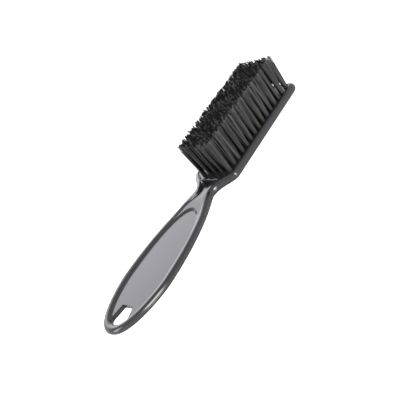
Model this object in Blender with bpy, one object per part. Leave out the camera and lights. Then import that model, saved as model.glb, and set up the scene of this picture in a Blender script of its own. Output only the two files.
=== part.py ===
"""Barber's fade brush: one moulding for handle and head, fifteen ranks of nylon tufts and their anchors.

Frame: metres, +X from the handle's end to the head's far end, +Z the way the bristles stand, z = 0 on the
flat back. The origin is under the middle of the brush.
"""
import math

import bmesh
import bpy
from mathutils import Matrix, Vector

# ---- driving dimensions, metres ----------------------------------------------------------------------
LENGTH = 0.175                      # handle end to head end
TIP_X = -LENGTH / 2
FAR_X = LENGTH / 2

GRIP_X = -0.0545                    # where the handle is widest
GRIP_HALF = 0.0183                  # half width there
TIP_ROUNDING = 0.0140               # how blunt the handle's end is
GRIP_BACK_REACH = 0.0067            # how long the widest part runs towards the tip
GRIP_FRONT_REACH = 0.0340           # and towards the neck
NECK_X = 0.0022                     # narrowest place
NECK_HALF = 0.0073
NECK_BACK_REACH = 0.0018
NECK_FRONT_REACH = 0.0049
SHOULDER_X = 0.0113                 # middle of the sloping shoulder
SHOULDER_HALF = 0.0132
SHOULDER_ANGLE = math.radians(43.5)
SHOULDER_REACH = 0.0034
HEAD_START_X = 0.0166               # where the head's straight side begins
HEAD_START_HALF = 0.0165
HEAD_END_HALF = 0.0159
HEAD_CORNER = 0.0045                # radius of the far corners in plan

HANDLE_THICK = 0.0040
HEAD_THICK = 0.0050
RIM_RISE_START_X = -0.0140          # the rim thickens towards the neck over this stretch
RIM_RISE_END_X = 0.0020
RIM_FOOT = 0.0044                   # distance in from the outline where the rim's inner side ends
HEAD_RIM_FOOT = 0.0034
PLAIN_LAND = 0.0002                 # width of the rim's flat top
NECK_LAND = 0.0016                  # and where it is widest
NECK_LAND_X = 0.0000
NECK_LAND_REACH = 0.0080
HEAD_RIM_START_X = 0.0095           # the neck's rim turns into the head's narrower one over this stretch
HEAD_RIM_END_X = 0.0150
GRIP_FALL = 0.0005                  # from the rim's crest down to the web, in the grip
VALLEY_Z = 0.0022                   # deepest floor of the valley between the neck's two rims
VALLEY_START_X = -0.0095
VALLEY_END_X = 0.0100
PLATE_FALL = 0.0004                 # from the head's rim down to the plate that holds the tufts
LIP_X = 0.0104                      # lip between the valley and the plate: near edge, crest and far edge
LIP_CREST_X = 0.0109
LIP_END_X = 0.0117
LIP_EDGE_Z = 0.0045
LIP_WALL_RUN = 0.0004               # of the steep step from the valley up to the lip

PANEL_EDGE = 0.00355                # distance in from the outline where the sunk panel's wall begins
PANEL_WALL_RISE = 0.00125
PANEL_WALL_RUN = 0.00174            # the panel's wall leans in by this much
PANEL_FLOOR_Z = 0.0026
RECESS_END_X = -0.0083              # where the panel ends, near the neck
RECESS_GRIP_REACH = 0.0260
RECESS_END_ROUNDING = 0.0100

HANG_TOP_X = -0.0712                # straight edge of the hanging hole
HANG_TOP_HALF = 0.0043
HANG_WIDE_X = -0.0790
HANG_WIDE_HALF = 0.0062
HANG_END_X = -0.0828

ROWS = 15
COLUMNS = 5
FIRST_ROW_X = 0.0173
LAST_ROW_X = 0.0827
ROW_PITCH = (LAST_ROW_X - FIRST_ROW_X) / (ROWS - 1)
COLUMN_PITCH = 0.0056
TUFT_HOLE_RADIUS = 0.0013
TUFT_HOLE_FLOOR = 0.0009
GAP = 0.0003                        # clearance kept between neighbouring pieces
TUFT_ROOT_RADIUS = TUFT_HOLE_RADIUS - GAP
TUFT_MOUTH_Z = HEAD_THICK - PLATE_FALL + GAP
BRISTLE_TOP_Z = 0.0258
BLOCK_TOP_HALF = 0.0125             # half width of the trimmed bristle block
ROW_TOP_HALF_X = 0.0019             # half thickness of one rank at its tips
TIP_OVERLAP = 0.0002                # how far the fanned tips of a rank run into each other

WIRE_THICK = 0.0004
WIRE_HEIGHT = 0.0010
WIRE_BOTTOM_Z = 0.0020
WIRE_BITE = 0.0002                  # how far an anchor cuts into the hole's wall

CURVE_STEPS = 14
SHOULDER_STEPS = 16
EDGE_STEPS = 3                      # facets in each quarter of the rounded edge
HOLE_SIDES = 8
MARGIN = 0.0010                     # how far a cutter stands out of what it cuts


def clear_scene():
    for obj in list(bpy.data.objects):
        bpy.data.objects.remove(obj, do_unlink=True)


def make_material(name, color, roughness, metallic):
    material = bpy.data.materials.new(name)
    material.use_nodes = True
    shader = material.node_tree.nodes["Principled BSDF"]
    shader.inputs["Base Color"].default_value = (*color, 1.0)
    shader.inputs["Roughness"].default_value = roughness
    shader.inputs["Metallic"].default_value = metallic
    return material


def make_object(name, bm, material=None):
    """Turn a bmesh into an object of that name."""
    bmesh.ops.recalc_face_normals(bm, faces=bm.faces)
    mesh = bpy.data.meshes.new(name)
    bm.to_mesh(mesh)
    bm.free()
    obj = bpy.data.objects.new(name, mesh)
    bpy.context.scene.collection.objects.link(obj)
    if material:
        mesh.materials.append(material)
    return obj


def make_cutter(name, bm):
    cutter = make_object(name, bm)
    cutter.hide_render = True
    cutter.display_type = "WIRE"
    return cutter


def add_boolean(obj, cutter, operation):
    modifier = obj.modifiers.new(cutter.name, "BOOLEAN")
    modifier.object = cutter
    modifier.operation = operation
    modifier.solver = "EXACT"


def bezier(start, start_handle, end_handle, end, steps):
    """Points of one cubic curve, without its last point."""
    points = []
    for step in range(steps):
        t = step / steps
        weights = ((1 - t) ** 3, 3 * (1 - t) ** 2 * t, 3 * (1 - t) * t ** 2, t ** 3)
        x = sum(w * p[0] for w, p in zip(weights, (start, start_handle, end_handle, end)))
        y = sum(w * p[1] for w, p in zip(weights, (start, start_handle, end_handle, end)))
        points.append(Vector((x, y)))
    return points


def half_outline():
    """The brush's outline on the +Y side, from the handle's tip to the end of the head's far corner."""
    tip = (TIP_X, 0.0)
    grip = (GRIP_X, GRIP_HALF)
    neck = (NECK_X, NECK_HALF)
    shoulder = Vector((SHOULDER_X, SHOULDER_HALF))
    along = Vector((math.cos(SHOULDER_ANGLE), math.sin(SHOULDER_ANGLE))) * SHOULDER_REACH
    head = (HEAD_START_X, HEAD_START_HALF)
    points = bezier(tip, (TIP_X, TIP_ROUNDING), (GRIP_X - GRIP_BACK_REACH, GRIP_HALF), grip, CURVE_STEPS)
    points += bezier(grip, (GRIP_X + GRIP_FRONT_REACH, GRIP_HALF), (NECK_X - NECK_BACK_REACH, NECK_HALF),
                     neck, CURVE_STEPS)
    points += bezier(neck, (NECK_X + NECK_FRONT_REACH, NECK_HALF), shoulder - along, shoulder, SHOULDER_STEPS)
    points += bezier(shoulder, shoulder + along, (HEAD_START_X - SHOULDER_REACH / 2, HEAD_START_HALF), head,
                     SHOULDER_STEPS)
    side_end = (FAR_X - HEAD_CORNER, HEAD_END_HALF)
    points += bezier(head, head, side_end, side_end, 2)
    for step in range(CURVE_STEPS // 2 + 1):
        turn = math.radians(90) * step / (CURVE_STEPS // 2)
        x = FAR_X - HEAD_CORNER + HEAD_CORNER * math.sin(turn)
        y = HEAD_END_HALF - HEAD_CORNER + HEAD_CORNER * math.cos(turn)
        points.append(Vector((x, y)))
    return points


def inward_normals(points, first_direction):
    """Unit vectors at each point of a +Y half outline, towards the inside."""
    normals = []
    for index, point in enumerate(points):
        before = points[index - 1] if index else point
        after = points[index + 1] if index + 1 < len(points) else point
        along = (after - before).normalized()
        normals.append(Vector((along.y, -along.x)))
    normals[0] = Vector(first_direction)
    return normals


def smooth_share(value, low, high):
    share = min(max((value - low) / (high - low), 0.0), 1.0)
    return share * share * (3 - 2 * share)


def rim_thickness(x):
    """Thickness of the rounded rim: the grip's grows smoothly into the neck's and the head's."""
    return HANDLE_THICK + (HEAD_THICK - HANDLE_THICK) * smooth_share(x, RIM_RISE_START_X, RIM_RISE_END_X)


def web_height(x):
    """Top of the web inside the rim: in the grip, the neck's valley, the step, the lip and the head's plate."""
    if x < LIP_X:
        grip = rim_thickness(x) - GRIP_FALL
        share = min(max((x - VALLEY_START_X) / (VALLEY_END_X - VALLEY_START_X), 0.0), 1.0)
        valley = grip + (VALLEY_Z - grip) * share * share
        return valley + (LIP_EDGE_Z - valley) * smooth_share(x, LIP_X - LIP_WALL_RUN, LIP_X)
    if x < LIP_CREST_X:
        turn = math.radians(90) * (x - LIP_X) / (LIP_CREST_X - LIP_X)
        return LIP_EDGE_Z + (HEAD_THICK - LIP_EDGE_Z) * math.sin(turn)
    return HEAD_THICK - PLATE_FALL * smooth_share(x, LIP_CREST_X, LIP_END_X)


def rim_foot(x):
    return RIM_FOOT + (HEAD_RIM_FOOT - RIM_FOOT) * smooth_share(x, HEAD_RIM_START_X, HEAD_RIM_END_X)


def rim_land(x):
    share = min(abs(x - NECK_LAND_X) / NECK_LAND_REACH, 1.0)
    return PLAIN_LAND + (NECK_LAND - PLAIN_LAND) * (1 - smooth_share(share, 0.0, 1.0))


def rim_profile(x, foot_x):
    """(distance in from the outline, height) round the rim, from the back face to its inner side's foot."""
    thickness = rim_thickness(x)
    radius = thickness / 2
    points = []
    for step in range(2 * EDGE_STEPS + 1):
        turn = math.radians(180) * step / (2 * EDGE_STEPS)
        points.append((radius * (1 - math.sin(turn)), radius * (1 - math.cos(turn))))
    land = radius + rim_land(x)
    points.append((land, thickness))
    foot = rim_foot(x)
    fall = thickness - web_height(foot_x)
    points.append(((land + foot) / 2, thickness - fall / 2))
    points.append((foot, thickness - fall))
    return points


def handle_and_head_body():
    """Solid of the moulding before it is cut: a rounded rim round a web."""
    half = half_outline()
    normals = inward_normals(half, (1.0, 0.0))
    profiles = []
    for point, normal in zip(half, normals):
        profiles.append(rim_profile(point.x, point.x + normal.x * rim_foot(point.x)))
    bm = bmesh.new()
    rings = []
    for ring in range(len(profiles[0])):
        left = []
        right = []
        for point, normal, profile in zip(half, normals, profiles):
            inset, height = profile[ring]
            place = point + normal * inset
            left.append(bm.verts.new((place.x, place.y, height)))
            right.append(bm.verts.new((place.x, -place.y, height)) if place.y > 1e-6 else left[-1])
        rings.append((left, right))
    for (low_left, low_right), (high_left, high_right) in zip(rings, rings[1:]):
        for index in range(len(half) - 1):
            bm.faces.new((low_left[index], low_left[index + 1], high_left[index + 1], high_left[index]))
            bm.faces.new((low_right[index], low_right[index + 1], high_right[index + 1], high_right[index]))
        bm.faces.new((low_left[-1], low_right[-1], high_right[-1], high_left[-1]))
    for left, right in (rings[0], rings[-1]):
        bm.faces.new((left[0], left[1], right[1]))
        for index in range(1, len(half) - 1):
            bm.faces.new((left[index], left[index + 1], right[index + 1], right[index]))
    return bm


def recess_half():
    """Edge of the handle's sunk panel on the +Y side, from its tip end to its neck end."""
    tip_end = (TIP_X + PANEL_EDGE, 0.0)
    grip = (GRIP_X, GRIP_HALF - PANEL_EDGE)
    neck_end = (RECESS_END_X, 0.0)
    scale = (GRIP_HALF - PANEL_EDGE) / GRIP_HALF
    points = bezier(tip_end, (tip_end[0], TIP_ROUNDING * scale), (GRIP_X - GRIP_BACK_REACH, grip[1]), grip,
                    CURVE_STEPS)
    points += bezier(grip, (GRIP_X + RECESS_GRIP_REACH, grip[1]), (RECESS_END_X, RECESS_END_ROUNDING),
                     neck_end, CURVE_STEPS)
    points.append(Vector(neck_end))
    return points


def closed_loop(half):
    """Both sides of a half outline whose ends lie on the middle line."""
    return half + [Vector((point.x, -point.y)) for point in reversed(half[1:-1])]


def add_prism(bm, low_loop, high_loop, low_z, high_z):
    """Closed solid between two flat loops with the same number of points."""
    low = [bm.verts.new((point.x, point.y, low_z)) for point in low_loop]
    high = [bm.verts.new((point.x, point.y, high_z)) for point in high_loop]
    count = len(low)
    for index in range(count):
        after = (index + 1) % count
        bm.faces.new((low[index], low[after], high[after], high[index]))
    bm.faces.new(list(reversed(low)))
    bm.faces.new(high)


def panel_cutter():
    """Cutter for the sunk panel on the bristle side of the handle."""
    half = recess_half()
    normals = inward_normals(half, (1.0, 0.0))
    normals[-1] = Vector((-1.0, 0.0))
    floor_half = [point + normal * PANEL_WALL_RUN for point, normal in zip(half, normals)]
    flare = PANEL_WALL_RUN * MARGIN / PANEL_WALL_RISE
    mouth_half = [point - normal * flare for point, normal in zip(half, normals)]
    floor_loop = closed_loop(floor_half)
    mouth_loop = closed_loop(mouth_half)
    mouth_z = PANEL_FLOOR_Z + PANEL_WALL_RISE + MARGIN
    bm = bmesh.new()
    add_prism(bm, floor_loop, mouth_loop, PANEL_FLOOR_Z, mouth_z)
    return make_cutter("panel_cutter", bm)


def hanging_hole_cutter():
    """Shield-shaped hole: a straight edge towards the head, sides that spread, and a round end."""
    half = [Vector((HANG_TOP_X, HANG_TOP_HALF))]
    for step in range(CURVE_STEPS // 2):
        turn = math.radians(90) * step / (CURVE_STEPS // 2)
        x = HANG_WIDE_X + (HANG_END_X - HANG_WIDE_X) * math.sin(turn)
        half.append(Vector((x, HANG_WIDE_HALF * math.cos(turn))))
    loop = half + [Vector((HANG_END_X, 0.0))] + [Vector((point.x, -point.y)) for point in reversed(half)]
    bm = bmesh.new()
    add_prism(bm, loop, loop, -MARGIN, HANDLE_THICK + MARGIN)
    return make_cutter("hanging_hole_cutter", bm)


def row_x(row):
    return FIRST_ROW_X + row * ROW_PITCH


def column_y(column):
    return (column - (COLUMNS - 1) / 2) * COLUMN_PITCH


def polygon_ring(radius_x, radius_y, center_y):
    """An eight-sided ring with flats facing X and Y, so that its outer size is exact."""
    corner = math.tan(math.radians(180) / HOLE_SIDES)
    flats = ((1, corner), (corner, 1), (-corner, 1), (-1, corner), (-1, -corner), (-corner, -1), (corner, -1),
             (1, -corner))
    return [Vector((radius_x * x, center_y + radius_y * y)) for x, y in flats]


def tuft_hole_cutter():
    """The seventy-five blind holes of the head."""
    bm = bmesh.new()
    for row in range(ROWS):
        for column in range(COLUMNS):
            ring = polygon_ring(TUFT_HOLE_RADIUS, TUFT_HOLE_RADIUS, column_y(column))
            loop = [Vector((point.x + row_x(row), point.y)) for point in ring]
            add_prism(bm, loop, loop, TUFT_HOLE_FLOOR, HEAD_THICK + MARGIN)
    return make_cutter("tuft_hole_cutter", bm)


def add_box(bm, low, high):
    size = Vector(high) - Vector(low)
    middle = (Vector(high) + Vector(low)) / 2
    bmesh.ops.create_cube(bm, size=1.0, matrix=Matrix.Translation(middle) @ Matrix.Diagonal((*size, 1.0)))


def wire_half_length():
    return column_y(COLUMNS - 1) + TUFT_HOLE_RADIUS + WIRE_BITE


def add_wire_box(bm, x, grow):
    """The flat wire of one rank, grown on every side by a clearance."""
    half_x = WIRE_THICK / 2 + grow
    half_y = wire_half_length() + grow
    top_z = WIRE_BOTTOM_Z + WIRE_HEIGHT
    add_box(bm, (x - half_x, -half_y, WIRE_BOTTOM_Z - grow), (x + half_x, half_y, top_z + grow))


def anchor_slot_cutter():
    """The narrow slot through each rank of holes that the anchors sit in."""
    bm = bmesh.new()
    for row in range(ROWS):
        add_wire_box(bm, row_x(row), GAP)
    return make_cutter("anchor_slot_cutter", bm)


def make_handle_and_head():
    plastic = make_material("black_plastic", (0.01, 0.01, 0.011), 0.2, 0.0)
    brush_body = make_object("handle_and_head", handle_and_head_body(), plastic)
    for face in brush_body.data.polygons:
        face.use_smooth = True
    brush_body.data.set_sharp_from_angle(angle=math.radians(40))
    cutters = (
        panel_cutter(),
        hanging_hole_cutter(),
        tuft_hole_cutter(),
        anchor_slot_cutter(),
    )
    for cutter in cutters:
        add_boolean(brush_body, cutter, "DIFFERENCE")


def add_tuft(bm, column):
    """One fanned tuft: a straight root in its hole that widens to its share of the trimmed top."""
    center = column_y(column)
    inner_half = COLUMN_PITCH / 2 + TIP_OVERLAP
    low_edge = -BLOCK_TOP_HALF if column == 0 else center - inner_half
    high_edge = BLOCK_TOP_HALF if column == COLUMNS - 1 else center + inner_half
    root = polygon_ring(TUFT_ROOT_RADIUS, TUFT_ROOT_RADIUS, center)
    tips = polygon_ring(ROW_TOP_HALF_X, (high_edge - low_edge) / 2, (high_edge + low_edge) / 2)
    heights = ((root, TUFT_HOLE_FLOOR + GAP), (root, TUFT_MOUTH_Z), (tips, BRISTLE_TOP_Z))
    rings = [[bm.verts.new((point.x, point.y, z)) for point in ring] for ring, z in heights]
    for low, high in zip(rings, rings[1:]):
        for index in range(HOLE_SIDES):
            after = (index + 1) % HOLE_SIDES
            bm.faces.new((low[index], low[after], high[after], high[index]))
    bm.faces.new(list(reversed(rings[0])))
    bm.faces.new(rings[-1])


def rank_mesh():
    """Mesh of one rank of five tufts: neighbours joined at their tips, roots pierced for the wire."""
    parts = []
    for column in range(COLUMNS):
        bm = bmesh.new()
        add_tuft(bm, column)
        parts.append(make_cutter(f"tuft_{column + 1}", bm))
    rank = parts[0]
    for neighbour in parts[1:]:
        add_boolean(rank, neighbour, "UNION")
    bm = bmesh.new()
    add_wire_box(bm, 0.0, GAP)
    wire_space = make_cutter("wire_space", bm)
    add_boolean(rank, wire_space, "DIFFERENCE")
    evaluated = rank.evaluated_get(bpy.context.evaluated_depsgraph_get())
    mesh = bpy.data.meshes.new_from_object(evaluated)
    for helper in parts + [wire_space]:
        bpy.data.objects.remove(helper, do_unlink=True)
    return mesh


def make_bristle_rows():
    nylon = make_material("black_nylon", (0.015, 0.015, 0.016), 0.45, 0.0)
    mesh = rank_mesh()
    mesh.name = "bristle_row"
    mesh.materials.clear()
    mesh.materials.append(nylon)
    for row in range(ROWS):
        rank = bpy.data.objects.new(f"bristle_row_{row + 1:02d}", mesh)
        rank.location.x = row_x(row)
        bpy.context.scene.collection.objects.link(rank)


def make_anchor_wires():
    steel = make_material("anchor_steel", (0.55, 0.54, 0.52), 0.35, 1.0)
    for row in range(ROWS):
        bm = bmesh.new()
        add_wire_box(bm, 0.0, 0.0)
        wire = make_object(f"anchor_wire_{row + 1:02d}", bm, steel)
        wire.location.x = row_x(row)


clear_scene()
make_handle_and_head()
make_bristle_rows()
make_anchor_wires()
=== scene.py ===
"""The finished fade brush: a glossy moulding, seventy-five tufts of single filaments, and their anchors.

Metres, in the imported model's frame: +X from the handle's end to the head's far end, +Z up the bristles.
"""
import math

import bmesh
import bpy
import numpy as np
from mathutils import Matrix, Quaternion, Vector


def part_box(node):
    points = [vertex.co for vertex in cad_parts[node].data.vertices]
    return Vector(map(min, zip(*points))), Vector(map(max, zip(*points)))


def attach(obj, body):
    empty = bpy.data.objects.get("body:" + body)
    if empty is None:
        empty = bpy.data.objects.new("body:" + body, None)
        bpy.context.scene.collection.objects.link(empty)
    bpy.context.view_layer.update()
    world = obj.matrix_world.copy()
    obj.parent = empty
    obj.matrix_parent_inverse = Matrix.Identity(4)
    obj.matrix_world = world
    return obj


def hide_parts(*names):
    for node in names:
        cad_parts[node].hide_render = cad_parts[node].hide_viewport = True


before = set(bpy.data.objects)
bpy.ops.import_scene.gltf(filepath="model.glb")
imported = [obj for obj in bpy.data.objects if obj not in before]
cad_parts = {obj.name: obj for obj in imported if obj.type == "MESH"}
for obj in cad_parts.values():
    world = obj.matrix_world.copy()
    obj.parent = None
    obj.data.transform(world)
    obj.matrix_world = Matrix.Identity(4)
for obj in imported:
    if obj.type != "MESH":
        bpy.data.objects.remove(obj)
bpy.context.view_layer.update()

# ---- sizes taken from the frame ------------------------------------------------------------------------
MOULDING_LOW, MOULDING_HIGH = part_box("handle_and_head")
ROW_BOXES = [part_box(f"bristle_row_{number:02d}") for number in range(1, 16)]
WIRE_BOXES = [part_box(f"anchor_wire_{number:02d}") for number in range(1, 16)]
ROW_X = [(low[0] + high[0]) / 2 for low, high in ROW_BOXES]
TIP_X = MOULDING_LOW[0]
FAR_X = MOULDING_HIGH[0]
HEAD_THICK = MOULDING_HIGH[2]
BRISTLE_TOP_Z = ROW_BOXES[0][1][2]
BLOCK_TOP_HALF = ROW_BOXES[0][1][1]
WIRE_LOW, WIRE_HIGH = WIRE_BOXES[0]
WIRE_BOTTOM_Z = WIRE_LOW[2]
WIRE_TOP_Z = WIRE_HIGH[2]
WIRE_HALF_THICK = (WIRE_HIGH[0] - WIRE_LOW[0]) / 2

# ---- the moulding's outline, as in the CAD model -------------------------------------------------------
GRIP_X = -0.0545
GRIP_HALF = 0.0183
TIP_ROUNDING = 0.0140
GRIP_BACK_REACH = 0.0067
GRIP_FRONT_REACH = 0.0340
NECK_X = 0.0022
NECK_HALF = 0.0073
NECK_BACK_REACH = 0.0018
NECK_FRONT_REACH = 0.0049
SHOULDER_X = 0.0113
SHOULDER_HALF = 0.0132
SHOULDER_ANGLE = math.radians(43.5)
SHOULDER_REACH = 0.0034
HEAD_START_X = 0.0166
HEAD_START_HALF = 0.0165
HEAD_END_HALF = 0.0159
HEAD_CORNER = 0.0045
HANDLE_THICK = 0.0040
RIM_RISE_START_X = -0.0140          # the rim thickens towards the neck over this stretch
RIM_RISE_END_X = 0.0020
RIM_FOOT = 0.0044                   # distance in from the outline where the rim's inner side ends
HEAD_RIM_FOOT = 0.0034
PLAIN_LAND = 0.0002                 # width of the rim's flat top
NECK_LAND = 0.0016                  # and where it is widest
NECK_LAND_X = 0.0000
NECK_LAND_REACH = 0.0080
HEAD_RIM_START_X = 0.0095           # the neck's rim turns into the head's narrower one over this stretch
HEAD_RIM_END_X = 0.0150
GRIP_FALL = 0.0005                  # from the rim's crest down to the web, in the grip
VALLEY_Z = 0.0022                   # deepest floor of the valley between the neck's two rims
VALLEY_START_X = -0.0095
VALLEY_END_X = 0.0100
VALLEY_RIM_START_X = -0.0130        # the rim's inner side turns from a gentle dish into a steep wall
VALLEY_RIM_END_X = 0.0000
PLATE_FALL = 0.0004                 # from the head's rim down to the plate that holds the tufts
LIP_X = 0.0104                      # lip between the valley and the plate: near edge, crest and far edge
LIP_CREST_X = 0.0109
LIP_END_X = 0.0117
LIP_EDGE_Z = 0.0045
LIP_WALL_RUN = 0.0004               # of the steep step from the valley up to the lip
PANEL_EDGE = 0.00355                # distance in from the outline where the sunk panel's wall begins
PANEL_WALL_RISE = 0.00125
PANEL_WALL_RUN = 0.00174
PANEL_FLOOR_Z = 0.0026
RECESS_END_X = -0.0083
RECESS_GRIP_REACH = 0.0260
RECESS_END_ROUNDING = 0.0100
HANG_TOP_X = -0.0712
HANG_TOP_HALF = 0.0043
HANG_WIDE_X = -0.0790
HANG_WIDE_HALF = 0.0062
HANG_END_X = -0.0828
COLUMNS = 5
COLUMN_PITCH = 0.0056
HOLE_RADIUS = 0.0013
HOLE_FLOOR = 0.0009

# ---- detail that only this script makes -----------------------------------------------------------
CURVE_STEPS = 56
SHORT_STEPS = 40
EDGE_STEPS = 12
RIM_STEPS = 10
PARTING_RIDGE = 0.00004             # the thin line that the two halves of the mould leave
PARTING_FOOT = math.radians(88)     # the turn round the edge at which that line starts to rise
EDGE_BREAK = 0.00012                # chamfer on the mouths of the holes
HOLE_SIDES = 20
MARGIN = 0.0010

FILAMENT_RADIUS = 0.000115
FOLDED_PER_TUFT = 50
TUFT_CLEARANCE = 0.00003            # between the outermost filament of a tuft and the wall of its hole
TUFT_RADIUS = HOLE_RADIUS - FILAMENT_RADIUS - TUFT_CLEARANCE
ROOT_SCATTER = 0.03                 # of the filaments in the hole, as a share of the tuft's radius
CLUMPS_PER_SIDE = 15                # tips that cling together, in each half of a tuft
CLUMP_PULL = 0.75                   # share of the way that tips are drawn to the middle of their clump
CLUMP_RISE = 0.00036                # spreads of the clumps' heights and leanings
CLUMP_LEAN = 0.00030
TRIM_SPREAD = 0.00013               # spread of the single tips' heights
TIP_WANDER = 0.00012
TRIM_MARGIN = 0.0002                # how far the outermost tips pass the trimmed block's sides
TIP_CURL = 0.00030
TUFT_LEAN = 0.00025
CORNER_FILL = 0.75                  # 1 spreads a round tuft's tips right into the corners of its share
CENTER_THINNING = 0.25              # moves the tips near the middle of a tuft outwards
THINNING_REACH = 0.2
BOWING = 0.8                        # under 1, the filaments bow outwards between the hole and the tip
FOLD_SHARE = 0.45                   # depth of a fold under the anchor, as a share of its width
SHALLOWEST_FOLD = 0.0002
OUTER_DEPTH = 0.0010                # how far into the block the painted light on the outermost filaments reaches
END_WEIGHT = 0.45                   # how strongly the block's two ends get that painted light
INNER_LIMIT = 0.25                  # filaments with less painted light than this can get the duller nylon copy that is painted in shade
# share of the clumps inside the block that get that painted shade
PAINTED_SHADE_CHANCE = 0.74
INNER_TONE = 0.4                    # tone of the filaments without painted light, and what the painted light adds to it
PAINTED_LIGHT_TONE = 0.75
LEG_PARTS = (0.93, 0.72, 0.40, 0.12)    # where each leg bends between the hole's mouth (0) and the tip (1)

ANCHOR_LENGTH = 2 * HOLE_RADIUS + 0.0004
ANCHOR_EDGE = 0.00006
TINY = 1e-6

FLOOR_RADIUS = 4.0
FLOOR_Z = -0.0001
FLOOR_GREY = 0.75

CAMERA_PLACE = Vector((-0.16575, -0.27862, 0.17949))
CAMERA_AIM = Vector((0.00033, 0.00396, 0.0))
CAMERA_ROLL = math.radians(-39.95)
CAMERA_LENS = 62.7

SOFTBOX_DISTANCE = 2.5
SOFTBOXES = (                       # name, azimuth, elevation, half angles (degrees), radiance, colour
    ("back_softbox", 65, 25, 13, 17, 2.15, (0.985, 0.97, 1.08)),
    ("front_strip", -97, 22, 11, 25, 13.5, (1.0, 0.985, 0.95)),
    ("end_softbox", 168, 32, 11, 22, 8.0, (1.0, 0.99, 0.98)),
)

SKY_LOW = (1.7, 1.7, 1.72)          # from the horizon up to SKY_TOP, the height on the unit sphere
SKY_HIGH = (0.95, 0.95, 0.97)
SKY_TOP = 0.75
REAR_GLOW = (0.5, 0.49, 0.52)       # added behind the brush
REAR_GLOW_START = 0.4
REAR_GLOW_FULL = 0.9

SEED = 7


# ---- small helpers -------------------------------------------------------------------------------------
def link(obj):
    bpy.context.scene.collection.objects.link(obj)
    return obj


def mesh_object(name, bm):
    bmesh.ops.recalc_face_normals(bm, faces=bm.faces)
    mesh = bpy.data.meshes.new(name)
    bm.to_mesh(mesh)
    bm.free()
    return link(bpy.data.objects.new(name, mesh))


def add_node(tree, kind, **values):
    """A shader node with its sockets set by name."""
    node = tree.nodes.new(kind)
    for name, value in values.items():
        node.inputs[name.replace("_", " ")].default_value = value
    return node


def color_ramp(tree, source, low, high, low_color, high_color):
    ramp = tree.nodes.new("ShaderNodeValToRGB")
    ramp.color_ramp.elements[0].position = low
    ramp.color_ramp.elements[1].position = high
    ramp.color_ramp.elements[0].color = (*low_color, 1.0)
    ramp.color_ramp.elements[1].color = (*high_color, 1.0)
    tree.links.new(source, ramp.inputs["Fac"])
    return ramp


def map_range(tree, source, low, high):
    node = add_node(tree, "ShaderNodeMapRange", To_Min=low, To_Max=high)
    tree.links.new(source, node.inputs["Value"])
    return node


def new_material(name):
    material = bpy.data.materials.new(name)
    material.use_nodes = True
    return material, material.node_tree, material.node_tree.nodes["Principled BSDF"]


def stretched_noise(tree, scale, stretch, detail=3.0):
    """Noise over the object's own coordinates, stretched along its axes."""
    coords = tree.nodes.new("ShaderNodeTexCoord")
    mapping = add_node(tree, "ShaderNodeMapping", Scale=stretch)
    noise = add_node(tree, "ShaderNodeTexNoise", Scale=scale, Detail=detail)
    tree.links.new(coords.outputs["Object"], mapping.inputs["Vector"])
    tree.links.new(mapping.outputs["Vector"], noise.inputs["Vector"])
    return noise


# ---- materials -----------------------------------------------------------------------------------------
def plastic_material():
    """Glossy black moulded plastic: slight flow marks, hairline scratches and a faint orange peel."""
    material, tree, shader = new_material("glossy_black_plastic")
    flow = stretched_noise(tree, 60.0, (0.4, 1.0, 1.0))
    tint = color_ramp(tree, flow.outputs["Fac"], 0.3, 0.7, (0.006, 0.006, 0.007), (0.010, 0.0098, 0.011))
    tree.links.new(tint.outputs["Color"], shader.inputs["Base Color"])
    scratches = stretched_noise(tree, 900.0, (0.06, 1.0, 1.0), detail=6.0)
    roughness = map_range(tree, scratches.outputs["Fac"], 0.12, 0.24)
    tree.links.new(roughness.outputs["Result"], shader.inputs["Roughness"])
    peel = stretched_noise(tree, 420.0, (1.0, 1.0, 1.0))
    bump = add_node(tree, "ShaderNodeBump", Strength=0.06, Distance=0.0002)
    tree.links.new(peel.outputs["Fac"], bump.inputs["Height"])
    tree.links.new(bump.outputs["Normal"], shader.inputs["Normal"])
    shader.inputs["IOR"].default_value = 1.53
    return material


def nylon_material(name, dark, pale, low_rough, high_rough, specular):
    """Black nylon filament, each one a slightly different dark grey, with painted light mixed into that grey:
    paler on the block's outer filaments.
    """
    material, tree, shader = new_material(name)
    shade = tree.nodes.new("ShaderNodeAttribute")
    shade.attribute_name = "filament_tone_and_painted_light"
    body = color_ramp(tree, shade.outputs["Fac"], 0.0, 1.0, (dark, dark, dark), (pale, pale, pale))
    tree.links.new(body.outputs["Color"], shader.inputs["Base Color"])
    draw_marks = stretched_noise(tree, 2500.0, (1.0, 1.0, 0.05))
    roughness = map_range(tree, draw_marks.outputs["Fac"], low_rough, high_rough)
    tree.links.new(roughness.outputs["Result"], shader.inputs["Roughness"])
    shader.inputs["Specular IOR Level"].default_value = specular
    return material


def steel_material():
    """Drawn flat wire: fine lines along its length."""
    material, tree, shader = new_material("drawn_steel_wire")
    lines = stretched_noise(tree, 9000.0, (1.0, 0.03, 1.0), detail=5.0)
    tint = color_ramp(tree, lines.outputs["Fac"], 0.3, 0.7, (0.42, 0.41, 0.39), (0.62, 0.61, 0.6))
    tree.links.new(tint.outputs["Color"], shader.inputs["Base Color"])
    roughness = map_range(tree, lines.outputs["Fac"], 0.22, 0.45)
    tree.links.new(roughness.outputs["Result"], shader.inputs["Roughness"])
    shader.inputs["Metallic"].default_value = 1.0
    return material


# ---- the moulding --------------------------------------------------------------------------------------
def bezier(start, start_handle, end_handle, end, steps):
    """Points of one cubic curve, without its last point."""
    points = []
    for step in range(steps):
        t = step / steps
        weights = ((1 - t) ** 3, 3 * (1 - t) ** 2 * t, 3 * (1 - t) * t ** 2, t ** 3)
        x = sum(w * p[0] for w, p in zip(weights, (start, start_handle, end_handle, end)))
        y = sum(w * p[1] for w, p in zip(weights, (start, start_handle, end_handle, end)))
        points.append(Vector((x, y)))
    return points


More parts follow.
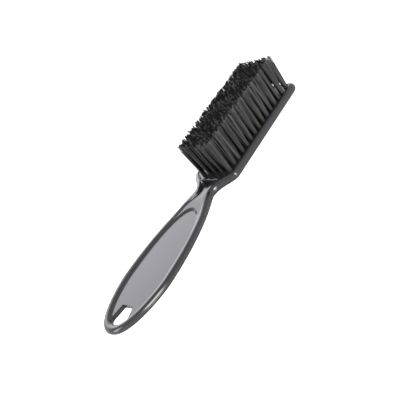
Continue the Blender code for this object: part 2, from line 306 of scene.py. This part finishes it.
def half_outline():
    """The outline on the +Y side, from the handle's tip to the end of the head's far corner."""
    tip = (TIP_X, 0.0)
    grip = (GRIP_X, GRIP_HALF)
    neck = (NECK_X, NECK_HALF)
    shoulder = Vector((SHOULDER_X, SHOULDER_HALF))
    along = Vector((math.cos(SHOULDER_ANGLE), math.sin(SHOULDER_ANGLE))) * SHOULDER_REACH
    head = (HEAD_START_X, HEAD_START_HALF)
    side_end = (FAR_X - HEAD_CORNER, HEAD_END_HALF)
    points = bezier(tip, (TIP_X, TIP_ROUNDING), (GRIP_X - GRIP_BACK_REACH, GRIP_HALF), grip, CURVE_STEPS)
    points += bezier(grip, (GRIP_X + GRIP_FRONT_REACH, GRIP_HALF), (NECK_X - NECK_BACK_REACH, NECK_HALF),
                     neck, CURVE_STEPS)
    points += bezier(neck, (NECK_X + NECK_FRONT_REACH, NECK_HALF), shoulder - along, shoulder, SHORT_STEPS)
    points += bezier(shoulder, shoulder + along, (HEAD_START_X - SHOULDER_REACH / 2, HEAD_START_HALF), head,
                     SHORT_STEPS)
    points += bezier(head, head, side_end, side_end, SHORT_STEPS)
    for step in range(SHORT_STEPS + 1):
        turn = math.radians(90) * step / SHORT_STEPS
        x = FAR_X - HEAD_CORNER + HEAD_CORNER * math.sin(turn)
        y = HEAD_END_HALF - HEAD_CORNER + HEAD_CORNER * math.cos(turn)
        points.append(Vector((x, y)))
    return points


def inward_normals(points, first_direction):
    normals = []
    for index, point in enumerate(points):
        before = points[index - 1] if index else point
        after = points[index + 1] if index + 1 < len(points) else point
        along = (after - before).normalized()
        normals.append(Vector((along.y, -along.x)))
    normals[0] = Vector(first_direction)
    return normals


def smooth_share(value, low, high):
    share = min(max((value - low) / (high - low), 0.0), 1.0)
    return share * share * (3 - 2 * share)


def rim_thickness(x):
    """Thickness of the rounded rim: the grip's grows smoothly into the neck's and the head's."""
    return HANDLE_THICK + (HEAD_THICK - HANDLE_THICK) * smooth_share(x, RIM_RISE_START_X, RIM_RISE_END_X)


def web_height(x):
    """Top of the web inside the rim: in the grip, the valley, the step, the lip and the head's plate."""
    if x < LIP_X:
        grip = rim_thickness(x) - GRIP_FALL
        share = min(max((x - VALLEY_START_X) / (VALLEY_END_X - VALLEY_START_X), 0.0), 1.0)
        valley = grip + (VALLEY_Z - grip) * share * share
        return valley + (LIP_EDGE_Z - valley) * smooth_share(x, LIP_X - LIP_WALL_RUN, LIP_X)
    if x < LIP_CREST_X:
        turn = math.radians(90) * (x - LIP_X) / (LIP_CREST_X - LIP_X)
        return LIP_EDGE_Z + (HEAD_THICK - LIP_EDGE_Z) * math.sin(turn)
    return HEAD_THICK - PLATE_FALL * smooth_share(x, LIP_CREST_X, LIP_END_X)


def rim_foot(x):
    return RIM_FOOT + (HEAD_RIM_FOOT - RIM_FOOT) * smooth_share(x, HEAD_RIM_START_X, HEAD_RIM_END_X)


def rim_land(x):
    share = min(abs(x - NECK_LAND_X) / NECK_LAND_REACH, 1.0)
    return PLAIN_LAND + (NECK_LAND - PLAIN_LAND) * (1 - smooth_share(share, 0.0, 1.0))


def rim_profile(x, foot_x):
    """(distance in from the outline, height) round the rim, from the back face to its inner side's foot."""
    thickness = rim_thickness(x)
    radius = thickness / 2
    neck = smooth_share(x, VALLEY_RIM_START_X, VALLEY_RIM_END_X)
    fall = thickness - web_height(foot_x)
    turns = [math.radians(90) * step / EDGE_STEPS for step in range(EDGE_STEPS)]
    upper = [math.radians(180) - turn for turn in reversed(turns)]
    turns += [PARTING_FOOT, math.radians(90), math.radians(180) - PARTING_FOOT] + upper
    points = []
    for turn in turns:
        ridge = PARTING_RIDGE if abs(turn - math.radians(90)) < TINY else 0.0
        points.append((radius * (1 - math.sin(turn)) - ridge, radius * (1 - math.cos(turn))))
    start = radius + rim_land(x)
    for step in range(RIM_STEPS + 1):
        share = step / RIM_STEPS
        wall = (1 - math.cos(math.pi * share)) / 2
        sag = (1 - neck) * share * share + neck * wall
        points.append((start + (rim_foot(x) - start) * share, thickness - fall * sag))
    return points


def blank_mesh():
    """The moulding before its panel and holes are cut: a rounded rim round a web."""
    half = half_outline()
    normals = inward_normals(half, (1.0, 0.0))
    profiles = []
    for point, normal in zip(half, normals):
        profiles.append(rim_profile(point.x, point.x + normal.x * rim_foot(point.x)))
    bm = bmesh.new()
    rings = []
    for ring in range(len(profiles[0])):
        left = []
        right = []
        for point, normal, profile in zip(half, normals, profiles):
            inset, height = profile[ring]
            place = point + normal * inset
            left.append(bm.verts.new((place.x, place.y, height)))
            right.append(bm.verts.new((place.x, -place.y, height)) if place.y > TINY else left[-1])
        rings.append((left, right))
    for (low_left, low_right), (high_left, high_right) in zip(rings, rings[1:]):
        for index in range(len(half) - 1):
            bm.faces.new((low_left[index], low_left[index + 1], high_left[index + 1], high_left[index]))
            bm.faces.new((low_right[index], low_right[index + 1], high_right[index + 1], high_right[index]))
        bm.faces.new((low_left[-1], low_right[-1], high_right[-1], high_left[-1]))
    for left, right in (rings[0], rings[-1]):
        bm.faces.new((left[0], left[1], right[1]))
        for index in range(1, len(half) - 1):
            bm.faces.new((left[index], left[index + 1], right[index + 1], right[index]))
    return bm


def recess_half():
    """Edge of the sunk panel on the +Y side, from its tip end to its neck end."""
    tip_end = (TIP_X + PANEL_EDGE, 0.0)
    grip = (GRIP_X, GRIP_HALF - PANEL_EDGE)
    neck_end = (RECESS_END_X, 0.0)
    scale = (GRIP_HALF - PANEL_EDGE) / GRIP_HALF
    points = bezier(tip_end, (tip_end[0], TIP_ROUNDING * scale), (GRIP_X - GRIP_BACK_REACH, grip[1]), grip,
                    CURVE_STEPS)
    points += bezier(grip, (GRIP_X + RECESS_GRIP_REACH, grip[1]), (RECESS_END_X, RECESS_END_ROUNDING),
                     neck_end, CURVE_STEPS)
    points.append(Vector(neck_end))
    return points


def closed_loop(half):
    """Both sides of a half outline whose ends lie on the middle line."""
    return half + [Vector((point.x, -point.y)) for point in reversed(half[1:-1])]


def inset_loop(half, inset):
    normals = inward_normals(half, (1.0, 0.0))
    normals[-1] = Vector((-1.0, 0.0))
    return closed_loop([point + normal * inset for point, normal in zip(half, normals)])


def add_loft(bm, loops):
    """Closed solid through flat loops, each given as (points, height)."""
    rings = [[bm.verts.new((point.x, point.y, height)) for point in points] for points, height in loops]
    count = len(rings[0])
    for low, high in zip(rings, rings[1:]):
        for index in range(count):
            after = (index + 1) % count
            bm.faces.new((low[index], low[after], high[after], high[index]))
    bm.faces.new(list(reversed(rings[0])))
    bm.faces.new(rings[-1])


def panel_cutter():
    """Cuts the sunk panel into the bristle side of the handle."""
    half = recess_half()
    slope = PANEL_WALL_RUN / PANEL_WALL_RISE
    loops = []
    for rise in (0.0, PANEL_WALL_RISE, PANEL_WALL_RISE + MARGIN):
        loops.append((inset_loop(half, PANEL_WALL_RUN - rise * slope), PANEL_FLOOR_Z + rise))
    bm = bmesh.new()
    add_loft(bm, loops)
    return mesh_object("panel_cutter", bm)


def hanging_hole_half(grow):
    """Shield-shaped hole: a straight edge towards the head, sides that spread, and a round end."""
    half = [Vector((HANG_TOP_X + grow, 0.0)), Vector((HANG_TOP_X + grow, HANG_TOP_HALF + grow))]
    for step in range(CURVE_STEPS // 2):
        turn = math.radians(90) * step / (CURVE_STEPS // 2)
        x = HANG_WIDE_X + (HANG_END_X - grow - HANG_WIDE_X) * math.sin(turn)
        half.append(Vector((x, (HANG_WIDE_HALF + grow) * math.cos(turn))))
    return half + [Vector((HANG_END_X - grow, 0.0))]


def hanging_hole_cutter():
    plain = closed_loop(hanging_hole_half(0.0))
    wide = closed_loop(hanging_hole_half(EDGE_BREAK))
    loops = ((wide, -MARGIN), (wide, 0.0), (plain, EDGE_BREAK),
             (plain, PANEL_FLOOR_Z - EDGE_BREAK), (wide, PANEL_FLOOR_Z), (wide, HANDLE_THICK + MARGIN))
    bm = bmesh.new()
    add_loft(bm, loops)
    return mesh_object("hanging_hole_cutter", bm)


def column_y(column):
    return (column - (COLUMNS - 1) / 2) * COLUMN_PITCH


def tuft_hole_cutter():
    bm = bmesh.new()
    mouth = HOLE_RADIUS + EDGE_BREAK
    plate_z = HEAD_THICK - PLATE_FALL
    levels = ((HOLE_RADIUS, HOLE_FLOOR), (HOLE_RADIUS, plate_z - EDGE_BREAK), (mouth, plate_z),
              (mouth + MARGIN, plate_z + MARGIN))
    turns = [math.tau * side / HOLE_SIDES for side in range(HOLE_SIDES)]
    around = [Vector((math.cos(turn), math.sin(turn))) for turn in turns]
    for x in ROW_X:
        for column in range(COLUMNS):
            center = Vector((x, column_y(column)))
            loops = [([center + radius * way for way in around], height) for radius, height in levels]
            add_loft(bm, loops)
    return mesh_object("tuft_hole_cutter", bm)


def make_moulding(material):
    blank = mesh_object("blank", blank_mesh())
    cutters = (panel_cutter(), hanging_hole_cutter(), tuft_hole_cutter())
    for cutter in cutters:
        cut = blank.modifiers.new(cutter.name, "BOOLEAN")
        cut.object = cutter
        cut.solver = "EXACT"
    evaluated = blank.evaluated_get(bpy.context.evaluated_depsgraph_get())
    mesh = bpy.data.meshes.new_from_object(evaluated)
    mesh.name = "moulded_body"
    for helper in (blank, *cutters):
        bpy.data.objects.remove(helper, do_unlink=True)
    mesh.polygons.foreach_set("use_smooth", [True] * len(mesh.polygons))
    mesh.set_sharp_from_angle(angle=math.radians(30))
    mesh.materials.clear()
    mesh.materials.append(material)
    moulding = link(bpy.data.objects.new("moulded_body", mesh))
    shading = moulding.modifiers.new("even_shading", "WEIGHTED_NORMAL")
    shading.keep_sharp = True
    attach(moulding, "root")
    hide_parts("handle_and_head")


# ---- bristles ------------------------------------------------------------------------------------------
def disk_points(rng, count):
    """Evenly packed points of the unit disk, split into its -X and +X halves, with a little scatter."""
    indices = np.arange(2 * count) + 0.5
    radius = np.sqrt(indices / (2 * count))
    turn = indices * math.pi * (3 - math.sqrt(5))
    points = np.stack([radius * np.cos(turn), radius * np.sin(turn)], axis=1)
    points += rng.normal(0.0, ROOT_SCATTER, points.shape)
    order = np.argsort(points[:, 0])
    left = points[order[:count]]
    right = points[order[count:]]
    return left[np.argsort(left[:, 1])], right[np.argsort(right[:, 1])]


def painted_edge_light(x, y):
    """Painted light on the filaments: 1 for those on the block's long sides, END_WEIGHT at its ends, 0
    inside.
    """
    half_pitch = (ROW_X[1] - ROW_X[0]) / 2
    from_side = BLOCK_TOP_HALF - np.abs(y)
    from_end = np.minimum(x - ROW_X[0] + half_pitch, ROW_X[-1] + half_pitch - x)
    side = np.clip(1 - from_side / OUTER_DEPTH, 0.0, 1.0)
    end = np.clip(1 - from_end / OUTER_DEPTH, 0.0, 1.0) * END_WEIGHT
    return np.maximum(side, end)


def leg_points(rng, disk, center, share):
    """One leg of each filament from its tip down to the anchor, its random tone with painted light, and
    whether it gets the nylon copy painted in shade.
    """
    count = len(disk)
    low_y, high_y, half_x = share
    reach = np.maximum(np.abs(disk[:, 0]), np.abs(disk[:, 1]))
    length = np.maximum(np.linalg.norm(disk, axis=1), TINY)
    square = disk * (length / np.maximum(reach, TINY))[:, None] ** CORNER_FILL
    lean = rng.normal(0.0, TUFT_LEAN, 2)
    tips = np.empty((count, 3))
    square *= np.maximum(length, THINNING_REACH)[:, None] ** -CENTER_THINNING
    tips[:, 0] = center[0] + square[:, 0] * half_x
    tips[:, 1] = (low_y + high_y) / 2 + square[:, 1] * (high_y - low_y) / 2
    tips[:, 2] = BRISTLE_TOP_Z + rng.normal(0.0, TRIM_SPREAD, count)
    heads = tips[rng.choice(count, CLUMPS_PER_SIDE, replace=False), :2]
    clump = np.argmin(np.linalg.norm(tips[:, None, :2] - heads[None], axis=2), axis=1)
    middles = np.array([tips[clump == index, :2].mean(axis=0) for index in range(CLUMPS_PER_SIDE)])
    tips[:, :2] += (middles[clump] - tips[:, :2]) * CLUMP_PULL
    tips[:, :2] += lean + rng.normal(0.0, CLUMP_LEAN, (CLUMPS_PER_SIDE, 2))[clump]
    tips[:, :2] += rng.normal(0.0, TIP_WANDER, (count, 2))
    tips[:, 2] += rng.normal(0.0, CLUMP_RISE, CLUMPS_PER_SIDE)[clump]
    mouths = np.empty((count, 3))
    mouths[:, 0] = center[0] + disk[:, 0] * TUFT_RADIUS
    mouths[:, 1] = center[1] + disk[:, 1] * TUFT_RADIUS
    mouths[:, 2] = HEAD_THICK - PLATE_FALL
    points = [tips]
    for index, part in enumerate(LEG_PARTS):
        place = mouths + (tips - mouths) * part
        place[:, :2] += (tips - mouths)[:, :2] * (part ** BOWING - part)
        if index == 0:
            place[:, :2] += rng.normal(0.0, TIP_CURL, (count, 2))
        points.append(place)
    side = np.sign(np.mean(disk[:, 0]))
    clear_x = WIRE_HALF_THICK + FILAMENT_RADIUS
    deep_x = center[0] + side * np.maximum(np.abs(disk[:, 0]) * TUFT_RADIUS, clear_x)
    points.append(mouths)
    for height in (WIRE_TOP_Z, WIRE_BOTTOM_Z):
        points.append(np.stack([deep_x, mouths[:, 1], np.full(count, height)], axis=1))
    # painted light and shade: filaments near the block's sides and ends are made paler, and most clumps
    # inside get the darker, duller nylon copy painted in shade
    outer = painted_edge_light(tips[:, 0], tips[:, 1])
    tone = (rng.random(CLUMPS_PER_SIDE)[clump] + rng.random(count)) / 2
    shade = tone * (INNER_TONE + PAINTED_LIGHT_TONE * outer)
    painted_shade_clump = rng.random(CLUMPS_PER_SIDE) < PAINTED_SHADE_CHANCE
    inner = (outer < INNER_LIMIT) & painted_shade_clump[clump]
    return np.stack(points, axis=1), shade, inner


def tuft_paths(rng, center, share):
    """Folded filaments: down one side of the anchor, under it, and up the other side."""
    left, right = disk_points(rng, FOLDED_PER_TUFT)
    down, down_shade, down_inner = leg_points(rng, left, center, share)
    up, up_shade, up_inner = leg_points(rng, right, center, share)
    up = up[:, ::-1]
    spread = np.abs(down[:, -1, 0] - up[:, 0, 0])
    drop = np.clip(spread * FOLD_SHARE, SHALLOWEST_FOLD, WIRE_BOTTOM_Z - HOLE_FLOOR - FILAMENT_RADIUS)
    bottom = (down[:, -1] + up[:, 0]) / 2
    bottom[:, 2] = WIRE_BOTTOM_Z - drop
    paths = np.concatenate([down, bottom[:, None], up], axis=1)
    leg_steps = down.shape[1]
    shades = np.concatenate([np.repeat(down_shade[:, None], leg_steps + 1, axis=1),
                             np.repeat(up_shade[:, None], leg_steps, axis=1)], axis=1)
    inner = np.concatenate([np.repeat(down_inner[:, None], leg_steps, axis=1),
                            np.repeat(up_inner[:, None], leg_steps, axis=1)], axis=1)
    return paths, shades, inner


def tube_mesh(name, paths, shades, inner):
    """Square tubes along the paths, each point carrying its tone and painted light, with the inner stretches,
    painted in shade, in the second slot.
    """
    count, steps, _ = paths.shape
    along = np.gradient(paths, axis=1)
    along /= np.linalg.norm(along, axis=2, keepdims=True)
    side = np.cross(along, np.array([0.0, 1.0, 0.0]))
    side /= np.linalg.norm(side, axis=2, keepdims=True)
    other = np.cross(along, side)
    corners = []
    for corner in range(4):
        turn = math.tau * (corner + 0.5) / 4
        corners.append(paths + FILAMENT_RADIUS * (math.cos(turn) * side + math.sin(turn) * other))
    verts = np.stack(corners, axis=2).reshape(-1, 3)
    faces = []
    slots = []
    for tube in range(count):
        first = tube * steps * 4
        for step in range(steps - 1):
            ring = first + step * 4
            for corner in range(4):
                after = (corner + 1) % 4
                faces.append((ring + corner, ring + after, ring + 4 + after, ring + 4 + corner))
                slots.append(int(inner[tube, step]))
        last = first + (steps - 1) * 4
        faces.append((first + 3, first + 2, first + 1, first))
        faces.append((last, last + 1, last + 2, last + 3))
        slots += [int(inner[tube, 0]), int(inner[tube, -1])]
    mesh = bpy.data.meshes.new(name)
    mesh.from_pydata(verts.tolist(), [], faces)
    mesh.update()
    attribute = mesh.attributes.new("filament_tone_and_painted_light", "FLOAT", "POINT")
    attribute.data.foreach_set("value", np.repeat(shades.reshape(-1), 4).astype(np.float32))
    mesh.polygons.foreach_set("material_index", slots)
    end_faces = steps * 4 - 4
    smooth = [index % (end_faces + 2) < end_faces for index in range(len(faces))]
    mesh.polygons.foreach_set("use_smooth", smooth)
    return mesh


def row_share(column):
    """The part of the trimmed top that a tuft's tips fill: low y, high y, half of its length along X."""
    low_y = -BLOCK_TOP_HALF - TRIM_MARGIN if column == 0 else column_y(column) - COLUMN_PITCH / 2
    high_y = BLOCK_TOP_HALF + TRIM_MARGIN if column == COLUMNS - 1 else column_y(column) + COLUMN_PITCH / 2
    return low_y, high_y, (ROW_X[1] - ROW_X[0]) / 2


def make_bristles(painted_lit_material, painted_shade_material):
    rng = np.random.default_rng(SEED)
    for row, x in enumerate(ROW_X):
        tufts = [tuft_paths(rng, (x, column_y(column)), row_share(column)) for column in range(COLUMNS)]
        paths, shades, inner = (np.concatenate(parts) for parts in zip(*tufts))
        name = f"bristle_rank_{row + 1:02d}"
        mesh = tube_mesh(name, paths, shades, inner)
        # first slot: the nylon that carries the painted light of the edges; second slot: the copy painted in
        # shade
        mesh.materials.append(painted_lit_material)
        mesh.materials.append(painted_shade_material)
        rank = link(bpy.data.objects.new(name, mesh))
        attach(rank, "root")
        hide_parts(f"bristle_row_{row + 1:02d}")


def make_anchors(material):
    """Five short flat wires in each rank, one across each hole."""
    for row, x in enumerate(ROW_X):
        bm = bmesh.new()
        for column in range(COLUMNS):
            size = Vector((2 * WIRE_HALF_THICK, ANCHOR_LENGTH, WIRE_TOP_Z - WIRE_BOTTOM_Z))
            made = bmesh.ops.create_cube(bm, size=1.0)["verts"]
            for vert in made:
                vert.co = Vector((vert.co.x * size.x, vert.co.y * size.y, vert.co.z * size.z))
                vert.co += Vector((x, column_y(column), (WIRE_TOP_Z + WIRE_BOTTOM_Z) / 2))
        bmesh.ops.bevel(bm, geom=bm.edges[:], offset=ANCHOR_EDGE, segments=2, affect="EDGES", profile=0.5)
        anchors = mesh_object(f"anchors_rank_{row + 1:02d}", bm)
        anchors.data.materials.append(material)
        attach(anchors, "root")
        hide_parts(f"anchor_wire_{row + 1:02d}")


# ---- floor, lights and camera --------------------------------------------------------------------------
def make_floor():
    """A pale floor that shines only towards the camera: it looks white but throws little light back."""
    bm = bmesh.new()
    bmesh.ops.create_circle(bm, cap_ends=True, radius=FLOOR_RADIUS, segments=96)
    floor = mesh_object("floor", bm)
    floor.location.z = FLOOR_Z
    material, tree, shader = new_material("pale_floor")
    shader.inputs["Base Color"].default_value = (FLOOR_GREY, FLOOR_GREY, FLOOR_GREY, 1.0)
    shader.inputs["Roughness"].default_value = 0.9
    shader.inputs["Emission Color"].default_value = (1.0, 1.0, 1.0, 1.0)
    seen = tree.nodes.new("ShaderNodeLightPath")
    tree.links.new(seen.outputs["Is Camera Ray"], shader.inputs["Emission Strength"])
    floor.data.materials.append(material)


def add_softbox(name, azimuth, elevation, half_wide, half_high, radiance, color):
    """Rectangular light at a bearing from the brush; its size is given by the half angles it fills."""
    direction = Vector((math.cos(elevation) * math.cos(azimuth), math.cos(elevation) * math.sin(azimuth),
                        math.sin(elevation)))
    light = bpy.data.lights.new(name, "AREA")
    light.shape = "RECTANGLE"
    light.size = 2 * SOFTBOX_DISTANCE * math.tan(half_wide)
    light.size_y = 2 * SOFTBOX_DISTANCE * math.tan(half_high)
    light.energy = radiance * math.pi * light.size * light.size_y
    light.color = color
    lamp = link(bpy.data.objects.new(name, light))
    lamp.location = direction * SOFTBOX_DISTANCE
    lamp.rotation_euler = (-direction).to_track_quat("-Z", "Y").to_euler()


def make_world():
    """A pale room: lit softly from all round, and plain white where the camera looks past the floor."""
    world = bpy.data.worlds.new("studio")
    bpy.context.scene.world = world
    world.use_nodes = True
    tree = world.node_tree
    tree.nodes.clear()
    coords = tree.nodes.new("ShaderNodeTexCoord")
    split = tree.nodes.new("ShaderNodeSeparateXYZ")
    tree.links.new(coords.outputs["Generated"], split.inputs["Vector"])
    height = color_ramp(tree, split.outputs["Z"], 0.0, SKY_TOP, SKY_LOW, SKY_HIGH)
    rear = color_ramp(tree, split.outputs["Y"], REAR_GLOW_START, REAR_GLOW_FULL, (0.0, 0.0, 0.0), REAR_GLOW)
    both = tree.nodes.new("ShaderNodeVectorMath")
    both.operation = "ADD"
    tree.links.new(height.outputs["Color"], both.inputs[0])
    tree.links.new(rear.outputs["Color"], both.inputs[1])
    studio = add_node(tree, "ShaderNodeBackground", Strength=1.0)
    tree.links.new(both.outputs["Vector"], studio.inputs["Color"])
    backdrop = add_node(tree, "ShaderNodeBackground", Color=(1.0, 1.0, 1.0, 1.0), Strength=1.0)
    seen = tree.nodes.new("ShaderNodeLightPath")
    mix = tree.nodes.new("ShaderNodeMixShader")
    output = tree.nodes.new("ShaderNodeOutputWorld")
    tree.links.new(seen.outputs["Is Camera Ray"], mix.inputs["Fac"])
    tree.links.new(studio.outputs["Background"], mix.inputs[1])
    tree.links.new(backdrop.outputs["Background"], mix.inputs[2])
    tree.links.new(mix.outputs["Shader"], output.inputs["Surface"])


def make_lights():
    """The softboxes. Their azimuths are measured from +X towards +Y."""
    for name, azimuth, elevation, half_wide, half_high, radiance, color in SOFTBOXES:
        add_softbox(name, math.radians(azimuth), math.radians(elevation), math.radians(half_wide),
                    math.radians(half_high), radiance, color)


def make_camera():
    data = bpy.data.cameras.new("camera")
    data.lens = CAMERA_LENS
    data.sensor_width = 36.0
    data.clip_start = 0.01
    camera = link(bpy.data.objects.new("camera", data))
    level = (CAMERA_AIM - CAMERA_PLACE).to_track_quat("-Z", "Y")
    camera.location = CAMERA_PLACE
    camera.rotation_euler = (level @ Quaternion((0.0, 0.0, 1.0), CAMERA_ROLL)).to_euler()
    bpy.context.scene.camera = camera


bpy.context.scene.view_settings.view_transform = "Standard"
make_camera()
make_floor()
make_world()
make_lights()
make_moulding(plastic_material())
# two copies of one nylon: the first carries the painted light of the block's edges, the second is painted in
# shade, darker, rougher and less glossy
make_bristles(nylon_material("black_nylon_painted_lit", 0.003, 0.066, 0.3, 0.5, 0.5),
              nylon_material("black_nylon_painted_shade", 0.002, 0.012, 0.5, 0.7, 0.1))
make_anchors(steel_material())
